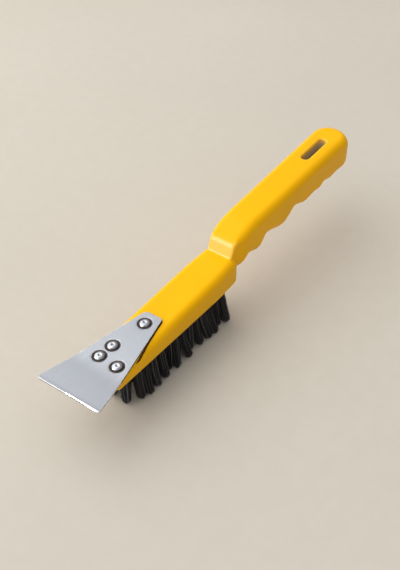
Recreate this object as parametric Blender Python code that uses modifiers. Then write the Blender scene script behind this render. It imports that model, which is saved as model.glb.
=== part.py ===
"""Hand wire brush with a riveted scraper blade.

One plastic moulding is the brush block, the stepped neck and the finger grip with its hang slot. A
trapezoid steel blade is riveted to the block's nose, and wire tufts sit in blind holes under it.

Frame: +X runs from the blade's edge to the grip's end, +Y is to the left and +Z is up. The origin
lies on the surface that the bristles stand on, under the middle of the whole. Lengths are in metres.
"""

import math
import random

import bmesh
import bpy
from mathutils import Matrix, Vector

# Fit and mesh values
CLEARANCE = 0.0003          # gap kept between two pieces that touch
ARC_STEPS = 4               # facets of a quarter round on the moulding
END_STEPS = 6               # sections through a rounded end or the neck's round
CORNER_STEPS = 4            # facets of the blade's corners
RIVET_FACETS = 20
FILLET_WIDTH_LIMIT = 0.9    # largest fillet of a section, as a share of its half width
FILLET_HEIGHT_LIMIT = 0.45  # and as a share of its height
MERGE_DISTANCE = 0.00001    # points closer than this are one
SHARP_ANGLE = math.radians(35)      # edges sharper than this are shaded sharp

# Overall layout
BRISTLE_TRIM = 0.0268       # bristle tips to the block's underside
BLADE_REACH = 0.0250        # blade edge to the block's toe
BLOCK_LENGTH = 0.1235
GRIP_LENGTH = 0.1436        # block's heel to the grip's end

# Brush block
BLOCK_WIDTH = 0.0274
TOE_THICKNESS = 0.0105
BLOCK_TILT = math.radians(3.95)     # rise of the block's top towards the neck
TOE_CORNER = 0.0045                 # radius seen from above
TOE_EDGE = 0.0022                   # radius seen from the side
SHOULDER_LENGTH = 0.0290            # tapered stretch before the heel
HEEL_WIDTH = 0.0250
HEEL_CORNER = 0.0050                # radius seen from above
HEEL_ROUND = 0.0060                 # radius seen from the side
BLOCK_STEP = 0.0140                 # spacing of sections on the straight stretch
BLOCK_TOP_FILLET = 0.0050
BLOCK_BOTTOM_FILLET = 0.0012

# Neck
NECK_SETBACK = 0.0058       # crease on the block's top to the heel
NECK_WIDTH = 0.0186
NECK_RISE = 0.0101          # crease to the corner that the neck's round replaces
NECK_SLOPE = math.radians(71)
NECK_TILT = math.radians(24)        # slope where the neck's round meets the grip's top
NECK_ROUND = 0.0072         # radius from the neck's face to the grip's top
NECK_FILLET = 0.0012
NECK_ROOT = 0.0018          # length of neck buried in the block

# Grip
GRIP_WIDTH_NECK = 0.0240
GRIP_WIDTH_END = 0.0274
GRIP_TILT = math.radians(3.7)       # slope of the grip's top
GRIP_EASING = 0.0228        # length over which the top's slope eases from the neck's
GRIP_UNDERSIDE = 0.0065     # finger line at the heel, above the block's underside
UNDERSIDE_TILT_NECK = math.radians(6.6)     # slope of the finger line at the heel
UNDERSIDE_TILT_END = math.radians(1.7)      # and at the end, for a gentle arch
GRIP_SWELL = 0.0150         # length over which the neck widens into the grip
GRIP_TOP_FILLET = 0.0056
GRIP_BOTTOM_FILLET = 0.0065
END_CORNER = 0.0128         # radius seen from above
END_TOP_ROUND = 0.0086
END_BOTTOM_ROUND = 0.0085
END_FILLET = 0.0104         # top fillet at the end
END_BLEND = 0.0160          # length over which the top fillet grows to that
# Ridges between the fingers: distance behind the heel, height above the finger line, and how far the
# bulge behind the ridge stays above that line
FINGER_RIDGES = (
    (0.0110, 0.0034, -0.0004),
    (0.0311, 0.0054, -0.0005),
    (0.0656, 0.0052, 0.0003),
    (0.0915, 0.0010, 0.0),
    (0.1042, 0.0022, 0.0003),
    (0.1212, 0.0008, 0.0),
)
FINGER_SKEW = 1.5           # above 1, each finger bulge is fullest towards the grip's end
GRIP_STEP = 0.0030          # spacing of sections on the grip and the block's taper

# Hang slot
SLOT_LENGTH = 0.0280
SLOT_WIDTH = 0.0060
SLOT_CORNER = 0.0027
SLOT_STEPS = 8              # points along the slot's sides, for rims that follow both faces
SLOT_RIM = 0.0010           # rounding of the slot's rims
RIM_EXTRA = 0.0001          # the slot's cutter is this much wider where it leaves a face
RIM_RISE = 0.00003          # and this much above the face there
SLOT_OVERRUN = 0.0040       # how far the cutter runs past both faces
SLOT_END_MARGIN = 0.0215    # slot to the grip's end

# Scraper blade
BLADE_LENGTH = 0.0764
BLADE_FRONT_WIDTH = 0.0463
BLADE_REAR_WIDTH = 0.0127
BLADE_THICKNESS = 0.0012
BLADE_FRONT_CORNER = 0.0017
BLADE_REAR_CORNER_LEFT = 0.0045
BLADE_REAR_CORNER_RIGHT = 0.0018
BEND_START = 0.0290         # the blade is bent up from here to its edge
BEND_LENGTH = 0.0080
BEND_ANGLE = math.radians(5.9)
BEND_STEPS = 4
GRIND_LENGTH = 0.0005       # narrow bevel behind the edge
GRIND_DEPTH = 0.0003
EDGE_SKEW = 0.0010          # the edge's left end stands this far ahead of its right end
EDGE_SKEW_REACH = 0.0200    # and the blade evens out again over this length
REAR_RIVET_MARGIN = 0.0087  # rear rivet to the blade's rear end

# Rivets: distance behind the blade's edge and offset to the left
RIVETS = {
    "rivet_front_left": (0.0330, 0.0055),
    "rivet_front_right": (0.0326, -0.0082),
    "rivet_middle_left": (0.0434, 0.0045),
    "rivet_rear": (BLADE_LENGTH - REAR_RIVET_MARGIN, 0.0003),
}
RIVET_HEAD_RADIUS = 0.0033
RIVET_HEAD_HEIGHT = 0.0011      # above the blade
# The head's curve from its dimple out: share of the radius, and of the height below the crown
RIVET_HEAD_CURVE = ((0.0, 0.30), (0.26, 0.24), (0.42, 0.0), (0.60, 0.04), (0.82, 0.28), (0.96, 0.62))
RIVET_SHANK_RADIUS = 0.0015
RIVET_GRIP_DEPTH = 0.0042       # shank inside the block
SEAT_RADIUS = 0.0046            # dished seat in the blade
SEAT_DEPTH = 0.0005

# Wire tufts
TUFT_COLUMNS = 14
TUFT_PITCH = 0.0070
TUFT_TOE_MARGIN = 0.0175        # first tufts to the block's toe
TUFT_ROWS = {"right": -1, "middle": 0, "left": 1}
ROW_PITCH = 0.0080
TOE_ROW_SHARE = 0.5             # the first two tufts stand this share of the pitch off the middle
TUFT_HOLE_RADIUS = 0.0023
TUFT_HOLE_DEPTH = 0.0062
TUFT_SIDES = 8
STRAND_RADIUS = 0.00080         # at the tips
STRAND_RADIUS_MIDDLE = 0.00066
STRAND_INSET = 0.00010          # web between two strands at the root
TIP_SPREAD = 0.0021             # strand circle's radius at the tips
MIDDLE_SPREAD = 0.0017          # and part way down
MIDDLE_SHARE = 0.5              # how far down that is
ROW_LEAN = 0.0024               # outer rows lean out by this much at the tips
END_LEAN = 0.0016               # first and last tufts lean out by this much
TUFT_WOBBLE = 0.0003            # uneven lean from tuft to tuft
STRAND_WOBBLE = 0.00012
SHORT_STRAND = 0.0012           # most that a worn strand is short
SHORT_SHARE = 0.25

# Derived places
OVERALL_LENGTH = EDGE_SKEW / 2 + BLADE_REACH + BLOCK_LENGTH + GRIP_LENGTH
EDGE_X = (EDGE_SKEW - OVERALL_LENGTH) / 2
TOE_X = EDGE_X + BLADE_REACH
HEEL_X = TOE_X + BLOCK_LENGTH
END_X = HEEL_X + GRIP_LENGTH
BLOCK_BOTTOM = BRISTLE_TRIM
CREASE_X = HEEL_X - NECK_SETBACK


def block_top(x):
    """Height of the block's sloping top plane."""
    return BLOCK_BOTTOM + TOE_THICKNESS + (x - TOE_X) * math.tan(BLOCK_TILT)


CREASE_Z = block_top(CREASE_X)
NECK_TANGENT = NECK_ROUND * math.tan((NECK_SLOPE - NECK_TILT) / 2)
NECK_END_X = CREASE_X + NECK_RISE / math.tan(NECK_SLOPE) + NECK_TANGENT * math.cos(NECK_TILT)
NECK_END_Z = CREASE_Z + NECK_RISE + NECK_TANGENT * math.sin(NECK_TILT)


def grip_top(x):
    """Height of the grip's top: it leaves the neck's round steeply and eases to a straight rise."""
    along = x - NECK_END_X
    eased = min(along, GRIP_EASING)
    extra = math.tan(NECK_TILT) - math.tan(GRIP_TILT)
    return NECK_END_Z + along * math.tan(GRIP_TILT) + extra * eased * (1 - eased / (2 * GRIP_EASING))


def remove_scene_objects():
    for item in list(bpy.data.objects):
        bpy.data.objects.remove(item, do_unlink=True)


def new_collection(name):
    collection = bpy.data.collections.new(name)
    bpy.context.scene.collection.children.link(collection)
    return collection


def new_material(name, colour, roughness, metallic):
    material = bpy.data.materials.new(name)
    material.use_nodes = True
    shader = material.node_tree.nodes["Principled BSDF"]
    shader.inputs["Base Color"].default_value = (*colour, 1.0)
    shader.inputs["Roughness"].default_value = roughness
    shader.inputs["Metallic"].default_value = metallic
    return material


def object_from_bmesh(name, shape, collection, material=None, parent=None):
    """Turn a bmesh into an object with outward faces and smooth round sides."""
    bmesh.ops.recalc_face_normals(shape, faces=shape.faces)
    mesh = bpy.data.meshes.new(name)
    shape.to_mesh(mesh)
    shape.free()
    mesh.shade_smooth()
    mesh.set_sharp_from_angle(angle=SHARP_ANGLE)
    item = bpy.data.objects.new(name, mesh)
    collection.objects.link(item)
    item.parent = parent
    if material:
        mesh.materials.append(material)
    return item


def as_cutter(item):
    item.hide_render = True
    item.display_type = "WIRE"
    return item


def add_boolean(target, tool, operation):
    modifier = target.modifiers.new(tool.name, "BOOLEAN")
    modifier.operation = operation
    modifier.solver = "EXACT"
    modifier.object = tool


def round_off(distance, radius):
    """How far a rounded end is drawn in, at a distance from the end."""
    if distance >= radius:
        return 0.0
    reach = radius - max(distance, 0.0)
    return radius - math.sqrt(radius * radius - reach * reach)


def end_stations(radius, steps):
    """Distances from an end that divide its rounding evenly."""
    return [radius * (1 - math.cos(math.pi / 2 * k / steps)) for k in range(steps + 1)]


def rounded_section(half_width, top, bottom, top_fillet, bottom_fillet):
    """Outline (y, z) of one section of the moulding, a box with four round corners."""
    height = top - bottom
    largest = min(FILLET_WIDTH_LIMIT * half_width, FILLET_HEIGHT_LIMIT * height)
    top_radius = min(top_fillet, largest)
    bottom_radius = min(bottom_fillet, largest)
    corners = (
        (half_width - top_radius, top - top_radius, top_radius, 0.0),
        (top_radius - half_width, top - top_radius, top_radius, 0.5 * math.pi),
        (bottom_radius - half_width, bottom + bottom_radius, bottom_radius, math.pi),
        (half_width - bottom_radius, bottom + bottom_radius, bottom_radius, 1.5 * math.pi),
    )
    outline = []
    for y, z, radius, start in corners:
        for k in range(ARC_STEPS + 1):
            angle = start + 0.5 * math.pi * k / ARC_STEPS
            outline.append((y + radius * math.cos(angle), z + radius * math.sin(angle)))
    return outline


def loft(sections):
    """Skin sections given as (x, outline) pairs, and close both ends."""
    shape = bmesh.new()
    rings = []
    for x, outline in sections:
        rings.append([shape.verts.new((x, y, z)) for y, z in outline])
    for ring, following in zip(rings, rings[1:]):
        count = len(ring)
        for k in range(count):
            nxt = (k + 1) % count
            shape.faces.new((ring[k], ring[nxt], following[nxt], following[k]))
    shape.faces.new(rings[0])
    shape.faces.new(rings[-1])
    return shape


def smooth_step(t):
    t = min(max(t, 0.0), 1.0)
    return t * t * (3 - 2 * t)


def block_half_width(x):
    """Half the block's width: round toe corners, straight sides, tapered heel."""
    taper = smooth_step((x - HEEL_X + SHOULDER_LENGTH) / SHOULDER_LENGTH)
    straight = BLOCK_WIDTH / 2 + taper * (HEEL_WIDTH - BLOCK_WIDTH) / 2
    return straight - round_off(x - TOE_X, TOE_CORNER) - round_off(HEEL_X - x, HEEL_CORNER)


def block_section(x):
    top = block_top(x) - round_off(x - TOE_X, TOE_EDGE) - round_off(HEEL_X - x, BLOCK_TOP_FILLET)
    bottom = BLOCK_BOTTOM + round_off(x - TOE_X, TOE_EDGE) + round_off(HEEL_X - x, HEEL_ROUND)
    return rounded_section(block_half_width(x), top, bottom, BLOCK_TOP_FILLET, BLOCK_BOTTOM_FILLET)


def tuft_x(column):
    return TOE_X + TUFT_TOE_MARGIN + column * TUFT_PITCH


def make_block():
    """The brush block, a wedge with round ends, without its neck and holes."""
    stations = [TOE_X + d for d in end_stations(TOE_CORNER, END_STEPS)]
    taper_start = HEEL_X - SHOULDER_LENGTH
    round_start = HEEL_X - HEEL_ROUND
    runs = max(1, round((taper_start - stations[-1]) / BLOCK_STEP))
    first = stations[-1]
    stations += [first + (taper_start - first) * k / runs for k in range(1, runs + 1)]
    steps = max(1, round((round_start - taper_start) / GRIP_STEP))
    stations += [taper_start + (round_start - taper_start) * k / steps for k in range(1, steps)]
    stations += [HEEL_X - d for d in reversed(end_stations(HEEL_ROUND, END_STEPS))]
    return loft([(x, block_section(x)) for x in stations])


def neck_centre():
    """Centre of the round at the neck's top, in the side view."""
    return NECK_END_X + NECK_ROUND * math.sin(NECK_TILT), NECK_END_Z - NECK_ROUND * math.cos(NECK_TILT)


def neck_arc_x(angle):
    return neck_centre()[0] - NECK_ROUND * math.sin(angle)


def grip_top_line(x):
    """Top of the neck and grip in the side view: sloping face, round, eased rise, rounded end."""
    centre_x, centre_z = neck_centre()
    if x < neck_arc_x(NECK_SLOPE):
        return CREASE_Z + (x - CREASE_X) * math.tan(NECK_SLOPE)
    if x < NECK_END_X:
        return centre_z + math.sqrt(NECK_ROUND ** 2 - (x - centre_x) ** 2)
    return grip_top(x) - round_off(END_X - x, END_TOP_ROUND)


def finger_rise(x):
    """How far the underside rises above the finger line, for ridges between rounded bulges."""
    stops = [(HEEL_X - NECK_SETBACK, 0.0, 0.0)]
    stops += [(HEEL_X + place, height, bulge) for place, height, bulge in FINGER_RIDGES]
    stops.append((END_X, 0.0, 0.0))
    for (start, start_rise, bulge), (end, end_rise, _) in zip(stops, stops[1:]):
        if start <= x <= end:
            t = ((x - start) / (end - start)) ** FINGER_SKEW
            wave = math.sin(math.pi * t)
            rise = start_rise if t < 0.5 else end_rise
            return rise * (1 - wave) * (1 + wave / 2) + bulge * wave
    return 0.0


def grip_bottom_line(x):
    along = x - HEEL_X
    easing = (math.tan(UNDERSIDE_TILT_NECK) - math.tan(UNDERSIDE_TILT_END)) / (2 * GRIP_LENGTH)
    line = BLOCK_BOTTOM + GRIP_UNDERSIDE + along * math.tan(UNDERSIDE_TILT_NECK) - easing * along * along
    return line + finger_rise(x) + round_off(END_X - x, END_BOTTOM_ROUND)


def grip_section(x):
    swell = smooth_step((x - CREASE_X) / GRIP_SWELL)
    widening = (GRIP_WIDTH_END - GRIP_WIDTH_NECK) * (x - CREASE_X) / (END_X - CREASE_X)
    half_width = (NECK_WIDTH + swell * (GRIP_WIDTH_NECK + widening - NECK_WIDTH)) / 2
    half_width -= round_off(END_X - x, END_CORNER)
    top_fillet = NECK_FILLET + swell * (GRIP_TOP_FILLET - NECK_FILLET)
    top_fillet += smooth_step((x - END_X + END_BLEND) / END_BLEND) * (END_FILLET - GRIP_TOP_FILLET)
    return rounded_section(half_width, grip_top_line(x), grip_bottom_line(x), top_fillet, GRIP_BOTTOM_FILLET)


def make_grip():
    """The neck and grip. Its first section lies inside the block."""
    stations = [CREASE_X - NECK_ROOT, CREASE_X]
    turn = NECK_SLOPE - NECK_TILT
    arc_angles = [NECK_SLOPE - turn * k / END_STEPS for k in range(END_STEPS + 1)]
    stations += [neck_arc_x(angle) for angle in arc_angles]
    grip_start = stations[-1]
    grip_end = END_X - END_CORNER
    runs = max(1, round((grip_end - grip_start) / GRIP_STEP))
    stations += [grip_start + (grip_end - grip_start) * k / runs for k in range(1, runs)]
    stations += [END_X - d for d in reversed(end_stations(END_CORNER, END_STEPS))]
    return loft([(x, grip_section(x)) for x in stations])


def slot_centre_x():
    return END_X - SLOT_END_MARGIN - SLOT_LENGTH / 2


def slot_outline(growth):
    """Rounded rectangle of the hang slot, grown evenly outwards, with points along its long sides."""
    radius = SLOT_CORNER + growth
    half_x = SLOT_LENGTH / 2 - SLOT_CORNER
    half_y = SLOT_WIDTH / 2 - SLOT_CORNER
    outline = []
    for index, (sign_x, sign_y) in enumerate(((1, 1), (-1, 1), (-1, -1), (1, -1))):
        for k in range(ARC_STEPS + 1):
            angle = 0.5 * math.pi * (index + k / ARC_STEPS)
            x = sign_x * half_x + radius * math.cos(angle)
            y = sign_y * half_y + radius * math.sin(angle)
            outline.append((x, y))
        if index % 2 == 0:
            for k in range(1, SLOT_STEPS):
                outline.append((sign_x * half_x * (1 - 2 * k / SLOT_STEPS), sign_y * (half_y + radius)))
    return outline


def make_slot_cutter():
    """The hang slot with its rims rounded off, as rings from below the grip to above it."""
    middle = slot_centre_x()
    rounding = [0.5 * math.pi * k / ARC_STEPS for k in range(ARC_STEPS + 1)]
    flare = [(SLOT_RIM * (1 - math.sin(a)), SLOT_RIM * (1 - math.cos(a))) for a in rounding]
    flare[0] = (SLOT_RIM + RIM_EXTRA, -RIM_RISE)
    shape = bmesh.new()
    rings = []

    def add_ring(growth, height):
        ring = [shape.verts.new((middle + x, y, height(middle + x))) for x, y in slot_outline(growth)]
        rings.append(ring)

    add_ring(SLOT_RIM + RIM_EXTRA, lambda x: grip_bottom_line(middle) - SLOT_OVERRUN)
    for growth, drop in flare:
        add_ring(growth, lambda x, drop=drop: grip_bottom_line(x) + drop)
    for growth, drop in reversed(flare):
        add_ring(growth, lambda x, drop=drop: grip_top(x) - drop)
    add_ring(SLOT_RIM + RIM_EXTRA, lambda x: grip_top(x) + SLOT_OVERRUN)
    for ring, following in zip(rings, rings[1:]):
        for k in range(len(ring)):
            nxt = (k + 1) % len(ring)
            shape.faces.new((ring[k], ring[nxt], following[nxt], following[k]))
    shape.faces.new(rings[0])
    shape.faces.new(rings[-1])
    return shape


def add_prism(shape, sides, radius, bottom, top, x, y):
    """Add an upright regular prism, flat side facing +X, to a bmesh."""
    turn = Matrix.Rotation(math.pi / sides, 4, "Z")
    place = Matrix.Translation((x, y, (bottom + top) / 2)) @ turn
    bmesh.ops.create_cone(shape, cap_ends=True, segments=sides, radius1=radius, radius2=radius,
                          depth=top - bottom, matrix=place)


def tuft_places():
    """Name, column and row of every tuft. The first column has two tufts, closer to the middle."""
    for row_name, row in TUFT_ROWS.items():
        for column in range(TUFT_COLUMNS):
            if column:
                yield f"tuft_{row_name}_{column + 1:02d}", column, row
            elif row:
                yield f"tuft_{row_name}_{column + 1:02d}", column, row * TOE_ROW_SHARE


def make_tuft_hole_cutter():
    shape = bmesh.new()
    for _, column, row in tuft_places():
        add_prism(shape, TUFT_SIDES, TUFT_HOLE_RADIUS, BLOCK_BOTTOM - TUFT_HOLE_DEPTH,
                  BLOCK_BOTTOM + TUFT_HOLE_DEPTH, tuft_x(column), row * ROW_PITCH)
    return shape


def make_tuft(column, row, chance):
    """One tuft: the folded root in its hole, and a fan of three-sided strands down to the floor."""
    x = tuft_x(column)
    y = row * ROW_PITCH
    root_top = BLOCK_BOTTOM + TUFT_HOLE_DEPTH - CLEARANCE
    root_bottom = BLOCK_BOTTOM + CLEARANCE
    shape = bmesh.new()
    add_prism(shape, TUFT_SIDES, TUFT_HOLE_RADIUS - CLEARANCE, root_bottom, root_top, x, y)
    bottom_face = min(shape.faces, key=lambda face: face.calc_center_median().z)
    fan = bmesh.ops.poke(shape, faces=[bottom_face])["faces"]
    bmesh.ops.inset_individual(shape, faces=fan, thickness=STRAND_INSET)
    across = column / max(TUFT_COLUMNS - 1, 1) * 2 - 1
    lean = Vector((across * END_LEAN, row * ROW_LEAN, 0))
    lean += Vector((chance.uniform(-1, 1), chance.uniform(-1, 1), 0)) * TUFT_WOBBLE
    bow = Vector((chance.uniform(-1, 1), chance.uniform(-1, 1), 0)) * TUFT_WOBBLE
    axis = Vector((x, y, 0))
    fan.sort(key=lambda face: math.atan2(face.calc_center_median().y - y, face.calc_center_median().x - x))
    for face in fan:
        out = (face.calc_center_median() - axis).to_2d().normalized().to_3d()
        wobble = Vector((chance.uniform(-1, 1), chance.uniform(-1, 1), 0)) * STRAND_WOBBLE
        short = chance.uniform(0, SHORT_STRAND) if chance.random() < SHORT_SHARE else 0.0
        middle = axis + out * MIDDLE_SPREAD + lean * MIDDLE_SHARE + bow
        middle.z = root_bottom * (1 - MIDDLE_SHARE)
        tip = axis + out * TIP_SPREAD + lean + wobble + Vector((0, 0, short))
        for centre, size in ((middle, STRAND_RADIUS_MIDDLE), (tip, STRAND_RADIUS)):
            face = bmesh.ops.extrude_discrete_faces(shape, faces=[face])["faces"][0]
            reshape_triangle(face, centre, out, size)
    return shape


def reshape_triangle(face, centre, out, radius):
    """Make a strand's face a level even triangle, its apex towards the tuft's axis."""
    middle = face.calc_center_median()
    ordered = sorted(face.verts, key=lambda v: (v.co - middle).dot(out))
    side = Vector((-out.y, out.x, 0))
    ordered[0].co = centre - out * radius
    third = math.radians(60)
    for vert in ordered[1:]:
        sign = 1 if (vert.co - middle).dot(side) > 0 else -1
        vert.co = centre + out * (radius * math.cos(third)) + side * (sign * radius * math.sin(third))


def make_handle_block(parts, cutters, material, blade_frame):
    handle = object_from_bmesh("handle_block", make_block(), parts, material)
    grip = as_cutter(object_from_bmesh("grip_form", make_grip(), cutters))
    slot = as_cutter(object_from_bmesh("slot_form", make_slot_cutter(), cutters))
    holes = as_cutter(object_from_bmesh("tuft_holes", make_tuft_hole_cutter(), cutters))
    shape = bmesh.new()
    depth = RIVET_GRIP_DEPTH + CLEARANCE
    for along, across in RIVETS.values():
        add_prism(shape, RIVET_FACETS, RIVET_SHANK_RADIUS + CLEARANCE, -depth, depth, along, across)
    rivet_holes = as_cutter(object_from_bmesh("rivet_holes", shape, cutters, parent=blade_frame))
    add_boolean(handle, grip, "UNION")
    for tool in (slot, holes, rivet_holes):
        add_boolean(handle, tool, "DIFFERENCE")
    return handle


def corner_arc(centre, radius, begin, turn):
    """Points of a rounded corner, from one direction and through a turn."""
    angles = [begin + turn * k / CORNER_STEPS for k in range(CORNER_STEPS + 1)]
    return [(centre[0] + radius * math.cos(a), centre[1] + radius * math.sin(a)) for a in angles]


def blade_side(rear_corner):
    """Outline of one long side of the blade at +Y, from the edge to the rear end."""
    taper = math.atan2((BLADE_FRONT_WIDTH - BLADE_REAR_WIDTH) / 2, BLADE_LENGTH)
    quarter = math.pi / 2
    front_set = BLADE_FRONT_CORNER * math.tan((quarter + taper) / 2)
    rear_set = rear_corner * math.tan((quarter - taper) / 2)
    front_centre = (BLADE_FRONT_CORNER, BLADE_FRONT_WIDTH / 2 - front_set)
    rear_centre = (BLADE_LENGTH - rear_corner, BLADE_REAR_WIDTH / 2 - rear_set)
    side = corner_arc(front_centre, BLADE_FRONT_CORNER, math.pi, -quarter - taper)
    return side + corner_arc(rear_centre, rear_corner, quarter - taper, taper - quarter)


def blade_outline():
    left = blade_side(BLADE_REAR_CORNER_LEFT)
    right = [(x, -y) for x, y in blade_side(BLADE_REAR_CORNER_RIGHT)]
    return left + right[::-1]


def score_across(shape, place):
    """Add a line of edges across the blade at a distance behind its edge."""
    geometry = shape.verts[:] + shape.edges[:] + shape.faces[:]
    bmesh.ops.bisect_plane(shape, geom=geometry, plane_co=(place, 0, 0), plane_no=(1, 0, 0))


def grind_edge(shape):
    """Slope the blade's top down to its edge."""
    score_across(shape, GRIND_LENGTH)
    for vert in shape.verts:
        if vert.co.x < GRIND_LENGTH and vert.co.z > BLADE_THICKNESS:
            vert.co.z -= GRIND_DEPTH * (1 - vert.co.x / GRIND_LENGTH)


def skew_edge(shape):
    """Set the edge a little askew, its left end ahead."""
    for vert in shape.verts:
        if vert.co.x < EDGE_SKEW_REACH:
            share = 1 - vert.co.x / EDGE_SKEW_REACH
            vert.co.x -= EDGE_SKEW * share * vert.co.y / BLADE_FRONT_WIDTH


def bend_front(shape):
    """Bend the blade's front up in a few even steps."""
    places = [BEND_START - BEND_LENGTH * k / (BEND_STEPS - 1) for k in range(BEND_STEPS)]
    for place in places:
        score_across(shape, place)
    turn = Matrix.Rotation(BEND_ANGLE / BEND_STEPS, 3, "Y")
    for place in reversed(places):
        ahead = [vert for vert in shape.verts if vert.co.x < place - CLEARANCE]
        bmesh.ops.rotate(shape, verts=ahead, cent=(place, 0, CLEARANCE), matrix=turn)


def make_scraper_blade(parts, cutters, material, blade_frame):
    """The blade, drawn flat on the block's sloping top, then ground and bent up in front."""
    curve = bpy.data.curves.new("blade_outline", "CURVE")
    curve.dimensions = "2D"
    curve.fill_mode = "BOTH"
    curve.extrude = BLADE_THICKNESS / 2
    points = blade_outline()
    spline = curve.splines.new("POLY")
    spline.points.add(len(points) - 1)
    for point, (x, y) in zip(spline.points, points):
        point.co = (x, y, 0, 1)
    spline.use_cyclic_u = True
    drawn = bpy.data.objects.new("blade_outline", curve)
    parts.objects.link(drawn)
    bpy.context.view_layer.update()
    mesh = bpy.data.meshes.new_from_object(drawn.evaluated_get(bpy.context.evaluated_depsgraph_get()))
    bpy.data.objects.remove(drawn, do_unlink=True)
    shape = bmesh.new()
    shape.from_mesh(mesh)
    bpy.data.meshes.remove(mesh)
    bmesh.ops.remove_doubles(shape, verts=shape.verts, dist=MERGE_DISTANCE)
    bmesh.ops.translate(shape, verts=shape.verts, vec=(0, 0, CLEARANCE + BLADE_THICKNESS / 2))
    grind_edge(shape)
    skew_edge(shape)
    bend_front(shape)
    blade = object_from_bmesh("scraper_blade", shape, parts, material, blade_frame)
    for name, (along, across) in RIVETS.items():
        add_boolean(blade, make_seat_cutter(name, along, across, cutters, blade_frame), "DIFFERENCE")
    return blade


def turned_object(name, profile, collection, material=None, parent=None):
    """Revolve a (radius, height) profile, listed top to bottom, about the local Z axis."""
    mesh = bpy.data.meshes.new(name)
    edges = [(k, k + 1) for k in range(len(profile) - 1)]
    mesh.from_pydata([(radius, 0, height) for radius, height in profile], edges, [])
    item = bpy.data.objects.new(name, mesh)
    collection.objects.link(item)
    item.parent = parent
    if material:
        mesh.materials.append(material)
    screw = item.modifiers.new("turn", "SCREW")
    screw.axis = "Z"
    screw.angle = 2 * math.pi
    screw.steps = RIVET_FACETS
    screw.render_steps = RIVET_FACETS
    screw.use_merge_vertices = True
    screw.merge_threshold = MERGE_DISTANCE
    screw.use_smooth_shade = True
    return item


def make_seat_cutter(name, along, across, cutters, blade_frame):
    """Dished seat and hole for one rivet."""
    top = CLEARANCE + BLADE_THICKNESS
    floor_radius = RIVET_HEAD_RADIUS + CLEARANCE
    hole = RIVET_SHANK_RADIUS + CLEARANCE
    flare = (SEAT_RADIUS - floor_radius) / SEAT_DEPTH
    profile = [
        (0, top + SEAT_DEPTH),
        (SEAT_RADIUS + flare * SEAT_DEPTH, top + SEAT_DEPTH),
        (floor_radius, top - SEAT_DEPTH),
        (hole, top - SEAT_DEPTH),
        (hole, -BLADE_THICKNESS),
        (0, -BLADE_THICKNESS),
    ]
    seat = as_cutter(turned_object(f"{name}_seat", profile, cutters, parent=blade_frame))
    seat.location = (along, across, 0)
    return seat


def make_rivet(name, along, across, parts, material, blade_frame):
    """A rivet: a low round head with a small dimple, on a plain shank."""
    top = CLEARANCE + BLADE_THICKNESS
    under = top - SEAT_DEPTH + CLEARANCE
    crown = top + RIVET_HEAD_HEIGHT
    head = RIVET_HEAD_RADIUS
    profile = [(out * head, crown - drop * RIVET_HEAD_HEIGHT) for out, drop in RIVET_HEAD_CURVE]
    profile += [
        (head, top),
        (head, under),
        (RIVET_SHANK_RADIUS, under),
        (RIVET_SHANK_RADIUS, -RIVET_GRIP_DEPTH),
        (0, -RIVET_GRIP_DEPTH),
    ]
    rivet = turned_object(name, profile, parts, material, blade_frame)
    rivet.location = (along, across, 0)
    return rivet


def make_blade_frame(parts):
    """An empty on the block's sloping top plane, below the blade's edge, with +X up the slope."""
    frame = bpy.data.objects.new("blade_frame", None)
    parts.objects.link(frame)
    bent_run = BEND_START - BEND_LENGTH / 2
    drawn_back = bent_run * (1 - math.cos(BEND_ANGLE))
    lift = bent_run * math.sin(BEND_ANGLE) + CLEARANCE + BLADE_THICKNESS - GRIND_DEPTH
    x = EDGE_X - drawn_back * math.cos(BLOCK_TILT) + lift * math.sin(BLOCK_TILT)
    frame.location = (x, 0, block_top(x))
    frame.rotation_euler = (0, -BLOCK_TILT, 0)
    return frame


def main():
    remove_scene_objects()
    parts = new_collection("wire_brush_with_scraper")
    cutters = new_collection("cutters")
    yellow = new_material("yellow_plastic", (0.95, 0.56, 0.005), 0.38, 0.0)
    blade_steel = new_material("blade_steel", (0.52, 0.55, 0.60), 0.34, 1.0)
    rivet_steel = new_material("rivet_steel", (0.72, 0.73, 0.75), 0.22, 1.0)
    wire_steel = new_material("dark_wire", (0.035, 0.035, 0.038), 0.42, 0.8)
    blade_frame = make_blade_frame(parts)
    make_handle_block(parts, cutters, yellow, blade_frame)
    make_scraper_blade(parts, cutters, blade_steel, blade_frame)
    for name, (along, across) in RIVETS.items():
        make_rivet(name, along, across, parts, rivet_steel, blade_frame)
    chance = random.Random(7)
    for name, column, row in tuft_places():
        object_from_bmesh(name, make_tuft(column, row, chance), parts, wire_steel)


main()
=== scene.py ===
"""Looks of the hand wire brush: finer pieces, materials, floor, light and camera.

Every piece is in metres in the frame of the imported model: +X runs from the blade's edge to the
grip's end, +Y is to the left and +Z is up from the surface that the bristles stand on.
"""

import math
import random

import bmesh
import bpy
import numpy as np
from mathutils import Matrix, Vector


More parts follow.
